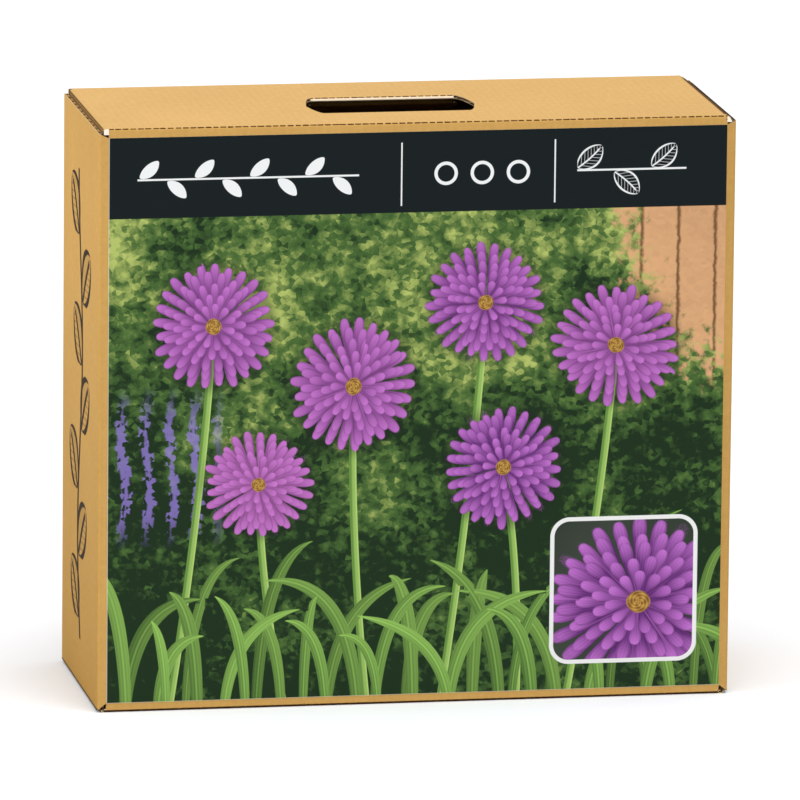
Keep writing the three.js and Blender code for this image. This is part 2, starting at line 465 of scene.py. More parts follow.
def board_skin(name, tone, spread=1.0, rough=0.6, drawing=False):
    """Kraft paper: cloudy, with short crossed fibres and a few flecks, and lower between the flutes."""
    p = Paint(name)
    cloud = p.at.noise(0.02, 3, 0.55)
    mottle = p.at.noise(0.33, 4, 0.62)
    long = p.at.stretch(0.16, 1.0, 1.0).noise(2.6, 3, 0.6, 0.6)
    short = p.at.stretch(1.0, 1.0, 0.2).noise(3.1, 3, 0.6, 0.6)
    fibre = long.most(short)
    fleck = p.at.cells(0.42).rise(0.16, 0.05) * p.at.noise(0.9, 1).rise(0.5, 0.62)
    washboard = (p.mark("flute") * (2 * pi)).cos()
    x, y, z = p.at.parts()
    left_wall = x.rise(-WALL_X + 0.6, -WALL_X + 0.1)
    amount = 1.0 + (cloud - 0.5) * (0.14 * spread) + (mottle - 0.5) * (0.13 * spread)
    amount = amount + (fibre - 0.58) * (0.13 * spread) + washboard * 0.012
    # Painted shade: the right end, and the left wall towards its foot, are darker.
    amount = amount - x.rise(139.5, 142) * 0.09 - (z.rise(230, 0) * left_wall) * 0.2
    dark = tuple(v * w for v, w in zip(tone, (0.93, 0.9, 0.82)))
    colour = p.mix((mottle + fibre - 0.6), dark, tone)
    # Painted light: the left wall is tinted warmer, most towards its foot.
    colour = p.mix(left_wall * (z.rise(170, 10) * 0.22 + 0.16), colour, (0.62, 0.33, 0.04))
    # A painted sheen pales the top face.
    colour = p.mix(z.rise(HEIGHT - 0.5, HEIGHT - 0.2) * 0.09, colour, (0.85, 0.75, 0.55))
    colour = p.shade(colour, amount)
    colour = p.mix(fleck * 0.5, colour, tuple(v * 0.45 for v in tone))
    if drawing:
        low, high = 31.0, 237.3  # the leaves' ends; the bare stem goes on a little
        leaf, lines, stem = sprig(z - low, y - 1.0, pitch=29.5, length=33.0, width=10.6, line=1.95, sway=6.0)
        band = z.rise(low, low + 0.4) * z.rise(high, high - 0.4)
        wall = x.rise(-WALL_X + 0.4, -WALL_X + 0.2)
        stem = stem * z.rise(low - 9, low - 8) * z.rise(239, 238)
        ink = (lines * band).most(stem) * wall * (0.85 + fibre * 0.3)
        colour = p.mix(leaf * band * wall * 0.10, colour, (0.10, 0.045, 0.012))
        colour = p.mix(ink * 0.95, colour, (0.012, 0.005, 0.003))
    # Painted shade: the dark that the mark carries, and a painted contact shadow along the side walls' feet.
    foot = z.rise(2.3, 1.5) * x.abs().rise(WALL_X - 0.5, WALL_X - 0.2)
    colour = p.mix(p.mark("painted_shade").most(foot) * (0.7 + mottle * 0.5), colour, (0.062, 0.024, 0.006))
    # The crease pockets are darkened: painted shade in them, with some of the liner's real cracking.
    jag = (fibre * 0.5 + mottle * 0.5 - 0.55) * 1.2
    pressed = (p.mark("press") + jag).rise(0.22, 0.5)
    colour = p.mix(pressed * 0.95, colour, (0.055, 0.018, 0.004))
    # Pale where the skin is stretched or cut; at the hand hole's crease this is partly a painted highlight.
    pale = (p.mark("pale") * (0.75 + mottle * 0.5)).clamp()
    colour = p.mix(pale * 0.85, colour, (0.93, 0.80, 0.62))
    height = fibre * 0.03 + mottle * 0.03 + washboard * 0.02 - pressed * 0.05
    return p.finish(colour, 0.05 + rough - mottle * 0.12 + fleck * 0.1, height, Specular_IOR_Level=0.02)


def cut_skin():
    """The raw cut edges, pale and frayed by the die; on top of the side walls they are darkened as painted
    shade, the right wall's nearly to black.
    """
    p = Paint("kraft_cut_edge")
    fray = p.at.noise(2.2, 4, 0.7)
    dirt = p.at.noise(0.4, 2)
    colour = p.mix(fray.rise(0.35, 0.65), (0.50, 0.33, 0.14), (0.80, 0.62, 0.38))
    colour = p.mix(dirt.rise(0.52, 0.7) * 0.35, colour, (0.28, 0.16, 0.06))
    x, y, z = p.at.parts()
    # Painted shade on the side walls' upper cut edges: near black on the right wall, brown on the left.
    upper = (z - SIDE_TOP).abs().rise(0.3, 0.1)
    behind_fold = y.rise(FRONT + 1.6, FRONT + 2.2)
    right = x.rise(WALL_X - 1.8, WALL_X - 1.4) * upper
    right_edge_shadow = right * behind_fold * y.rise(REAR - 7, REAR - 8)
    colour = p.mix(right_edge_shadow * 0.9, colour, (0.06, 0.025, 0.007))
    left = x.rise(-WALL_X + 1.9, -WALL_X + 1.5) * upper
    left_edge_shade = left * x.rise(-WALL_X + 0.3, -WALL_X + 0.4) * behind_fold
    colour = p.mix(left_edge_shade * 0.85, colour, (0.20, 0.10, 0.03))
    colour = p.mix(p.mark("pale"), colour, (0.95, 0.84, 0.70))
    return p.finish(colour, 0.95 - fray * 0.2, fray * 0.12 + dirt * 0.1)


def fluting_skin():
    """The fluting and what it is glued to: rough brown paper, painted dark as painted shade for the hollows
    that the light hardly reaches.
    """
    p = Paint("kraft_fluting")
    mottle = p.at.noise(0.8, 3, 0.6)
    colour = p.mix(mottle, (0.10, 0.050, 0.018), (0.20, 0.108, 0.042))
    return p.finish(colour, 0.98 - mottle * 0.12, mottle * 0.06)


def glue_skin():
    """Dried carton glue, cream and slightly glossy, with bubbles."""
    p = Paint("dried_glue")
    ripple = p.at.noise(0.5, 3, 0.5)
    bubble = p.at.cells(0.7).rise(0.25, 0.1)
    colour = p.mix(ripple.rise(0.3, 0.7), (0.62, 0.50, 0.30), (0.82, 0.74, 0.56))
    colour = p.mix(bubble * 0.5, colour, (0.45, 0.34, 0.18))
    return p.finish(colour, 0.3 + ripple * 0.25, ripple * 0.1 - bubble * 0.08)


KRAFT = (0.605, 0.355, 0.108)
board_skins = [
    board_skin("kraft_outer_liner", KRAFT),
    # The inner liner's dark brown is partly its own recycled tone and partly painted shade for the carton's
    # inside.
    board_skin("kraft_inner_liner", (0.24, 0.14, 0.055), 1.5, 0.8),
    cut_skin(),
    fluting_skin(),
]
drawn_skins = [board_skin("kraft_outer_liner_with_drawing", KRAFT, drawing=True), *board_skins[1:]]

# ---- left side, front and right side: one board, folded along its flutes
wrap = Path(
    [(-WALL_X, REAR), (-WALL_X, FRONT), (WALL_X, FRONT), (WALL_X, REAR)],
    (FOLD, FOLD),
)
left_seam, right_seam = wrap.ends[1] - 1, wrap.ends[4] + 1
wrap.sample(left_seam, right_seam, wrap.along(1, MARGIN), wrap.along(1, MARGIN + 2 * PRINT_X))

for name, panel_node, low, high, skins in (
    ("left_side_board", "left_side_panel", 0, left_seam, drawn_skins),
    ("front_board", "front_panel", left_seam, right_seam, None),
    ("right_side_board", "right_side_panel", right_seam, wrap.ends[-1], None),
):
    part = wrap.cut(low, high)
    # The front runs on to its creases; beside them it is notched down to the height of the sides.
    x, y = part.spots.T
    creased = np.abs(x) <= PRINT_X + 1e-6
    ease = np.clip((np.abs(x) - PRINT_X) / MARGIN, 0, 1)
    top = PRINT_TOP + (SIDE_TOP - PRINT_TOP) * ease
    foot = MARGIN + (SIDE_FOOT - MARGIN) * ease
    rows = np.stack([np.where(creased, REACH, foot), np.where(creased, HEIGHT - REACH, top)], 1)
    board = Board()
    layers(board, part, rows, upright)
    if name == "left_side_board":
        # In places the upper edge's flutes are filled by plugs painted near black: painted shade of the
        # flutes' hollows, which gives the edge its row of dark dashes.
        plugged = np.sin(y * 0.71 + 0.5 * np.sin(y * 0.23)) > -0.05
        plugged = (plugged & (np.abs(part.out[:, 0]) > 0.99))[:-1, None]
        rows = np.tile([SIDE_TOP - 0.5, SIDE_TOP - 0.02], (len(part.s), 1))
        plug = [fan(part.at(depth), rows, upright) for depth in (0.2, 1.4)]
        board.shell(*plug, (OUTSIDE, OUTSIDE, OUTSIDE), plugged, painted_shade=np.full(rows.shape, 0.9))
    board.finish(name, "carton", panel_node, materials=skins)

# ---- top and bottom walls, each folded down or up at its two ends into a corner flap


def slot_edges(x, inset=0.0):
    """The front and rear edges of the hand hole, counted from the line of its tips."""
    tip, flat = SLOT_TIP - inset, SLOT_STRAIGHT - inset
    f = np.clip((np.abs(x) - flat) / (tip - flat), 0, 1)
    return -(SLOT_FRONT - inset) * (1 - f * f), (SLOT_REAR - inset) * (1 - f * f)


def corner_flaps(path, level_name, hands, root):
    """Makes the two ends of a wall's board, which are glued inside the side walls, and gives the rest."""
    ends = path.ends
    for hand, low, high in zip(hands, (0, ends[4]), (ends[1], ends[-1])):
        part = path.cut(low, high)
        t = np.clip(np.abs(part.spots[:, 1] - root) / GLUE_FLAP, 0, 1)
        # Painted shade on the flap just below its fold.
        painted_shade = np.repeat(np.clip(1.6 - t * GLUE_FLAP, 0, 0.55)[:, None], 2, 1)
        rows = np.stack([GLUE_FRONT + GLUE_TAPER * t, GLUE_REAR - GLUE_TAPER * t], 1)
        name = f"{level_name}_{hand}_corner_flap"
        panel(name + "_board", "carton", part, rows, level, name, painted_shade=painted_shade)
    return path.cut(ends[1], ends[4])


def tabs(x):
    """Where a wall's columns are beside the front, and so in its tabs."""
    beside = np.abs(x) > PRINT_X + 1e-6
    return beside[:-1] | beside[1:]


SLOT_SKIN = 2.5  # how far the skin of the flap's crease reaches over the top
free = HEIGHT - BOARD - GLUE_FLAP
top = Path([(LAYER_X, free), (LAYER_X, HEIGHT), (-LAYER_X, HEIGHT), (-LAYER_X, free)], (RIGHT_END, LEFT_END))
over = [SLOT_X + side * v for side in (1, -1) for v in (SLOT_TIP, SLOT_STRAIGHT + 0.02, SLOT_STRAIGHT)]
top.sample(*(top.along(1, LAYER_X - x) for x in (PRINT_X, -PRINT_X, *over)))
wall = corner_flaps(top, "upper", ("right", "left"), HEIGHT - BOARD)
x, z = wall.spots.T
front, rear = slot_edges(x - SLOT_X)
rear = SLOT_TIP_Y + rear
rear[np.abs(x - SLOT_X) <= SLOT_STRAIGHT + 1e-6] += SLOT_SKIN
high = z > HEIGHT - BOARD
# At the rear its corners are cut off along CORNER_RUN, the right one by more than the left.
CORNER_RUN, RIGHT_CORNER, LEFT_CORNER = 2.6, 4.5, 1.1
slack = np.clip((np.abs(x) - CREASE_RIGHT) / CORNER_RUN, 0, 1) * np.where(x > 0, RIGHT_CORNER, LEFT_CORNER)
start = np.where(high, FRONT, GLUE_FRONT)
SHADE_FADES_FROM = REAR - 11  # where the right fold's painted shade starts to fade out
end = REAR - REACH - slack
rows = np.stack([start, start + REACH, SLOT_TIP_Y + front, rear, np.full(len(x), SHADE_FADES_FROM), end], 1)
tab = tabs(x)
yes = np.ones_like(tab)
board = Board()
# The folds take painted shade where they squeeze past the side walls, but not at the left one's front end or
# at the right one's rear end.
steep = np.where(x > 0, 1 - wall.turned, wall.turned) * (wall.turned > 0) * (wall.turned < 1)
painted_shade = np.where(x > 0, np.clip((steep - 0.06) / 0.12, 0, 1), np.exp(-(((steep - 0.8) / 0.28) ** 2)))
painted_shade[np.abs(x) > LAYER_X - 1e-3] = 0.55
painted_shade = np.repeat(painted_shade[:, None], rows.shape[1], 1)
painted_shade[x < 0, 0] = 0
painted_shade[x > 0, -1] = 0
layers(board, wall, rows, level, np.stack([tab, yes, ~yes, yes, yes], 1), painted_shade)
# The die has dragged the front tabs' edges over, so that their ends show pale and closed: a thin cap on each.
CAP_PROUD, CAP_THICK = 0.04, 0.24
for side, radius, depth in ((-1, LEFT_END, 2.7), (1, RIGHT_END, 3.0)):
    across = np.linspace(PRINT_X, LAYER_X - 0.1, 12)
    upper = HEIGHT - 0.03 - radius + np.sqrt(radius**2 - np.clip(across - LAYER_X + radius, 0, radius) ** 2)
    lower = np.full_like(upper, HEIGHT - depth)
    line = np.stack([across * side, np.full_like(upper, FRONT - CAP_PROUD)], 1)
    near = fan(line, np.stack([np.maximum(upper, lower + 0.05), lower], 1), upright)
    far = near + np.array([0, CAP_THICK, 0])
    board.shell(near, far, (CUT, CUT, CUT), pale=np.ones(near.shape[:2]))
board.finish("top_board", "carton", "top_panel")

raised = BOARD + GLUE_FLAP
bottom = Path([(-LAYER_X, raised), (-LAYER_X, 0), (LAYER_X, 0), (LAYER_X, raised)], (LEFT_END, LEFT_END))
bottom.sample(bottom.along(1, LAYER_X - PRINT_X), bottom.along(1, LAYER_X + PRINT_X))
wall = corner_flaps(bottom, "lower", ("left", "right"), BOARD)
x = wall.spots[:, 0]
tab = tabs(x)
rows = np.tile([FRONT, FRONT + REACH, REAR], (len(x), 1))
# Painted shade on the folds at its two ends.
painted_shade = np.repeat(((wall.turned > 0) & (wall.turned < 1))[:, None] * 1.0, rows.shape[1], 1)
cells = np.stack([tab, np.ones_like(tab)], 1)
panel("bottom_board", "carton", wall, rows, level, "bottom_panel", cells=cells, painted_shade=painted_shade)

square_crease("front_top_crease", "carton", -PRINT_X, PRINT_X, (FRONT, HEIGHT), (0, -1), (1, 0), 3)
# Its bend takes a painted contact shadow where the carton stands.
square_crease(
    "front_bottom_crease", "carton", -PRINT_X, PRINT_X, (FRONT, 0), (0, 1), (1, 0), 4,
    radius=1.35, lean=0.5, paints_shadow=True,
)

# ---- lid, with its two ears and its tuck flap, and the creases that they turn on
lid = Path([(LAYER_X, REAR), (-LAYER_X, REAR)])
EAR_ROOT = LAYER_X - BOARD
marks = (EAR_ROOT, -EAR_ROOT, TUCK_X, -TUCK_X, CREASE_LEFT, CREASE_RIGHT)
lid.sample(*(lid.along(0, LAYER_X - v) for v in marks))
x = lid.spots[:, 0]
middle = (x[:-1] + x[1:]) / 2
rows = np.tile([LID_FOOT, LID_FOOT + REACH, EAR_FOOT, EAR_TOP, HEIGHT - REACH, HEIGHT - 0.25], (len(x), 1))
yes = np.ones(len(middle), bool)
ends = middle < CREASE_LEFT  # at the right end its corner is cut off
cells = np.stack([np.abs(middle) > TUCK_X, yes, np.abs(middle) < EAR_ROOT, yes, ends], 1)
panel("lid_board", "lid", lid, rows, upright, "back_lid", cells=cells)

square_crease(
    "lid_crease", ("carton", "lid"), CREASE_LEFT, CREASE_RIGHT, (REAR, HEIGHT), (-1, 0), (0, -1), 5,
    lean=0.5, start=(0, REAR - 1.5, HEIGHT), end=(0, REAR, HEIGHT - 1.5),
)

turns = np.linspace(0, pi / 2, 10)
TUCK_ROOT = LID_FACE - 1.4  # where the tuck flap's crease ends
profile = []
for outside, radius, foot in ((REAR, BOARD, LID_FOOT), (LID_FACE, 0.25, LID_FOOT + BOARD)):
    line = [(outside, LID_FOOT + REACH), (outside, LID_FOOT + 2.2)]
    line += [(LID_FACE + radius * cos(u), LID_FOOT + BOARD - radius * sin(u)) for u in turns]
    profile.append(line + [(LID_FACE - 0.7, foot), (TUCK_ROOT, foot)])
press = [0, 0] + [exp(-(((u - 0.8) / 0.3) ** 2)) for u in turns] + [0, 0]
crease(
    "tuck_crease", ("lid", "tuck"), -TUCK_X, TUCK_X, *profile, press, 6,
    start=(0, REAR, LID_FOOT + BOARD), end=(0, LID_FACE, LID_FOOT),
)
tuck = Path([(-TUCK_X, LID_FOOT), (TUCK_X, LID_FOOT)]).sample()
root = LID_FACE - FLAP_GAP
drawn_in, reach = flap_line(TUCK, FLAP_CORNER)
edge = root - np.interp(TUCK_X - np.abs(tuck.spots[:, 0]), drawn_in, reach)
rows = np.stack([np.minimum(edge, TUCK_ROOT - 0.01), np.full_like(edge, TUCK_ROOT)], 1)
panel("tuck_board", "tuck", tuck, rows, level, "lid_tuck_flap")

drawn_in, reach = flap_line(EAR, EAR_TAPER)
EAR_MIDDLE = 133  # the height of the start and end given to the ears' creases
for hand, side in (("left", -1), ("right", 1)):
    legs = [(LAYER_X * side, root), (LAYER_X * side, root - EAR)]
    ear = Path(legs if side < 0 else legs[::-1]).sample()
    inset = np.interp(root - ear.spots[:, 1], reach, drawn_in)
    rows = np.stack([EAR_FOOT + inset, EAR_TOP - inset], 1)
    panel(f"{hand}_ear_board", f"{hand}_ear", ear, rows, upright, f"{hand}_lid_ear")
    rows = np.tile([EAR_FOOT, EAR_TOP], (len(turns) + 1, 1))
    faces = []
    for r in (BOARD, 0.45):
        line = [((EAR_ROOT + r * sin(u)) * side, LID_FACE + r * cos(u)) for u in turns]
        faces.append(fan(np.array([*line, ((EAR_ROOT + r) * side, root)]), rows, upright))
    board = Board()
    board.shell(*faces, (OUTSIDE, INSIDE, CUT), pale=np.full(rows.shape, 0.25))
    board.finish(
        f"{hand}_ear_crease", ("lid", f"{hand}_ear"), angle=60,
        start=(EAR_ROOT * side, REAR, EAR_MIDDLE), end=(LAYER_X * side, LID_FACE, EAR_MIDDLE),
    )

# ---- the flap of the hand hole, folded under, and the crushed board of its crease
c, s = cos(SLOT_FOLD), sin(SLOT_FOLD)
FLAP_ROOT = 6.0  # where its crushed root ends


def folded(p, q, t):
    """Flutes down the folded flap: p is along its crease, q through its board and t down from the crease."""
    return np.stack([p + SLOT_X, SLOT_CREASE_Y - t * c - q * s, HEIGHT - BOARD - t * s + q * c], -1)


tip = SLOT_TIP - SLOT_KERF
flap = Path([(tip, BOARD), (-tip, BOARD)])
flap.sample(*(flap.along(0, tip + side * (SLOT_STRAIGHT + v)) for side in (-1, 1) for v in (0, 0.02)))
front, rear = slot_edges(flap.spots[:, 0], SLOT_KERF)
root = np.where(np.abs(flap.spots[:, 0]) > SLOT_STRAIGHT + 1e-3, SLOT_REAR - rear, FLAP_ROOT)
panel("hand_flap_board", "hand_flap", flap, np.stack([root, SLOT_REAR - front], 1), folded, "hand_hole_flap")
y0, h = SLOT_CREASE_Y, HEIGHT - BOARD
# From the top's face round to the flap's: y behind the crease, and z over the top board's inner face.
near = [(SLOT_SKIN, 1.6), (1.9, 1.59), (1.45, 1.55), (1.05, 1.4), (0.7, 1.18), (0.4, 0.92), (0.15, 0.6)]
near += [(0, 0.3), (0.1, 0.05), (0.5, -0.25)]
far = [(SLOT_SKIN, 0), (2.0, 0), (1.8, 0), (1.6, 0.03), (1.4, 0.06), (1.25, 0.08), (1.15, 0.06)]
far += [(1.1, 0.03), (1.1, 0), (1.1, -0.05)]
near, far = ([(y0 + y, h + z) for y, z in line] for line in (near, far))
for v, outer in ((1.0, 0.5), (2.0, 0.6), (4.0, 1.1), (FLAP_ROOT, BOARD)):
    near.append((y0 - v * c - outer * s, h - v * s + outer * c))
    far.append((y0 - v * c, h - v * s))
# Along the profile: how hard it is pressed, its pale skin round the bend, partly a painted highlight, and
# painted shade under the fold inside the hole.
press = [0, 0, 0.6, 1, 0.4] + [0] * 9
pale = [0, 0, 0, 0, 0.6, 1, 1, 1, 0.8, 0] + [0] * 4
painted_shade = [0] * 9 + [1, 0.6, 0.2, 0, 0]
crease(
    "hand_flap_crease", ("carton", "hand_flap"), SLOT_X - SLOT_STRAIGHT, SLOT_X + SLOT_STRAIGHT,
    near, far, press, 9, depth=0.3, pale=pale, painted_shade=painted_shade,
    start=(SLOT_X, y0 + 0.6, h - 0.05), end=(SLOT_X, y0 + 0.6, h - 0.45),
)

# ---- glue
glue = glue_skin()
for level_name in ("upper", "lower"):
    for hand in ("left", "right"):
        for material_slot in bpy.data.objects[f"{level_name}_{hand}_glue_line"].material_slots:
            material_slot.material = glue

# ---- the printed sheet: a generic bed of double daisies, drawn by its material from coordinates in its mesh
BLOOMS = ((-93, 176, 30), (-29, 147, 32), (31, 184, 28), (91, 163, 31), (-72, 103, 26), (40, 108, 29))
FEET = (-112, -22, 12, 70, -60, 47)  # of their stems
CLOSE_UP = (103, 44, 44)  # like BLOOMS: x, z and radius
BLOOM_REACH = 1.12  # how many radii from its middle a bloom's coordinates are kept
LAYERS, LEAVES = 4, 9  # of strap leaves
INSET_X, INSET_Z, INSET, INSET_CORNER, INSET_RIM = 96.0, 50.0, 34.0, 9.0, 1.9
HEADER, HEADER_MIDDLE = 226.0, 243.5  # the dark band's lower edge, and the line that its signs stand on
FACE_REACH = 1.9  # from the middle of a face of the sheet to its corners, and a little more
draw = np.random.default_rng(21)


def bend(points):
    """Places along a quadratic curve, and a straight run past its end."""
    a, b, c = (np.array(v, float) for v in points)
    count = int(np.linalg.norm(c - a) / 1.5) + 8
    t = np.linspace(0, 1, count)[:, None]
    line = (1 - t) ** 2 * a + 2 * t * (1 - t) * b + t**2 * c
    return np.concatenate([line, line[-1:] + (line[-1:] - line[-2:-1]) * np.arange(1, 4)[:, None]]), count


class Drawing:
    """Coordinates for the shapes of one layer of the picture, kept at the face corners of the sheet."""

    def __init__(self, mesh):
        self.mesh = mesh
        where = np.array([vertex.co for vertex in mesh.vertices])
        self.corners = where[[corner.vertex_index for corner in mesh.loops]][:, ::2] / MM
        sizes = np.array([face.loop_total for face in mesh.polygons])
        self.face = np.repeat(np.arange(len(sizes)), sizes)
        self.middles = np.stack([np.bincount(self.face, self.corners[:, k]) / sizes for k in (0, 1)], 1)

    def keep(self, name, values):
        attribute = self.mesh.attributes.new(name, "FLOAT_VECTOR", "CORNER")
        attribute.data.foreach_set("vector", values.astype(np.float32).ravel())

    def blooms(self, name, circles):
        values = np.tile([9.0, 9.0, 0.0], (len(self.corners), 1))
        best = np.full(len(self.middles), BLOOM_REACH)
        inside = np.abs(self.middles - [INSET_X, INSET_Z]).max(1) < INSET + 1
        for k, (x, z, radius) in enumerate(circles):
            close = (x, z, radius) == CLOSE_UP
            away = np.hypot(*(self.middles - [x, z]).T) / radius
            mine = (away < best) & (inside == close)
            best[mine] = away[mine]
            chosen = mine[self.face]
            turn, flat = draw.uniform(0, 6.28), draw.uniform(0.9, 1.0)
            local = (self.corners[chosen] - [x, z]) / radius
            u = local[:, 0] * cos(turn) + local[:, 1] * sin(turn)
            v = (local[:, 1] * cos(turn) - local[:, 0] * sin(turn)) / flat
            values[chosen] = np.stack([u, v, np.full(len(u), k + 1.0)], 1)
        self.keep(name, values)

    def strips(self, name, spines):
        """spines are three points of a curve and a half width each."""
        values = np.tile([9.0, -1.0, 0.0], (len(self.corners), 1))
        best = np.full(len(self.middles), 1.0)
        for k, (points, half) in enumerate(spines):
            line, count = bend(points)
            ways = np.gradient(line, axis=0)
            steps = np.hypot(*ways.T)
            ways /= steps[:, None]
            nearest = np.hypot(*(self.middles[:, None] - line[None]).transpose(2, 0, 1)).min(1)
            nearest = (nearest - FACE_REACH) / half
            mine = nearest < best
            best[mine] = nearest[mine]
            chosen = mine[self.face]
            places = self.corners[chosen]
            n = np.hypot(*(places[:, None] - line[None]).transpose(2, 0, 1)).argmin(1)
            off = places - line[n]
            along = (n + (off * ways[n]).sum(1) / steps[n]) / (count - 1)
            across = (off[:, 0] * ways[n, 1] - off[:, 1] * ways[n, 0]) / half
            values[chosen] = np.stack([across, along, np.full(len(n), k + 1.0)], 1)
        self.keep(name, values)


def bloom_colour(p, u, v, which):
    """A double daisy from above: rings of petals round a small buff centre. Gives its colour and shape."""
    radius = (u * u + v * v).sqrt()
    turn = v.do("ARCTAN2", u) / (2 * pi) + 0.5
    rings = ((1.0, 25), (0.86, 22), (0.7, 19), (0.54, 15), (0.37, 11))  # each ring's radius and petals
    colour, cover = None, None
    own = (which * 3.7).random()
    for k, (high, count) in enumerate(rings):
        place = turn * count + which * 0.37 + k * 0.41
        luck = (place.floor() + which * 31.0 + k * 57.0).random()
        off = place.fract() - 0.5
        a = off.abs()
        t = radius / (luck * (-0.11 * high) + high)
        width = (1.0 - (t * 0.985) ** 7).most(0.0).sqrt() * (0.3 + t * 0.17)
        petal = (width - a).rise(-0.015, 0.03) * t.rise(1.02, 0.99)
        inner = rings[k + 1][0] * 0.8 if k + 1 < len(rings) else 0.12
        shade = radius.rise(inner * 0.9, high) * 0.75 + (luck - 0.5) * 0.4 + 0.18 - a * a * 1.5
        shade = shade + (off * 38.0).cos() * 0.06
        tone = p.mix(shade, (0.105, 0.018, 0.15), (0.50, 0.155, 0.56))
        tone = p.mix((own - 0.5) * 0.5 + 0.12, tone, (0.62, 0.20, 0.52))
        tone = p.shade(tone, 0.62 + (width - a).rise(0.0, 0.13) * 0.42)
        colour = tone if colour is None else p.mix(petal, colour, tone)
        cover = petal if cover is None else cover.most(petal)
    seeds = (turn * 26.0 + radius * 60.0).sin() * (radius * 110.0).sin()
    heart = p.mix(seeds * 0.5 + 0.5 - radius * 1.5, (0.20, 0.085, 0.016), (0.62, 0.36, 0.075))
    colour = p.mix(radius.rise(0.135, 0.115), colour, heart)
    return colour, cover


def strap_leaf(p, name, light):
    across, along, which = p.mark(name, "Vector").parts()
    t = along.clamp()
    width = ((1.0 - t ** 2.6) * (0.62 + t * 0.55)).most(0.0)
    mask = (width - across.abs()).rise(-0.05, 0.06) * along.rise(-0.02, 0.01) * (1.0 - along).rise(0.0, 0.02)
    luck = (which + light * 91.0).random()
    veins = (across * 17.0).cos() * 0.07
    shade = 0.30 + luck * 0.35 + t * 0.25 + across * 0.22 + veins + across.abs().rise(0.14, 0.03) * 0.3
    tone = p.mix(shade, (0.020, 0.075, 0.013), (0.28, 0.50, 0.10))
    return p.shade(tone, 0.55 + light * 0.45), mask


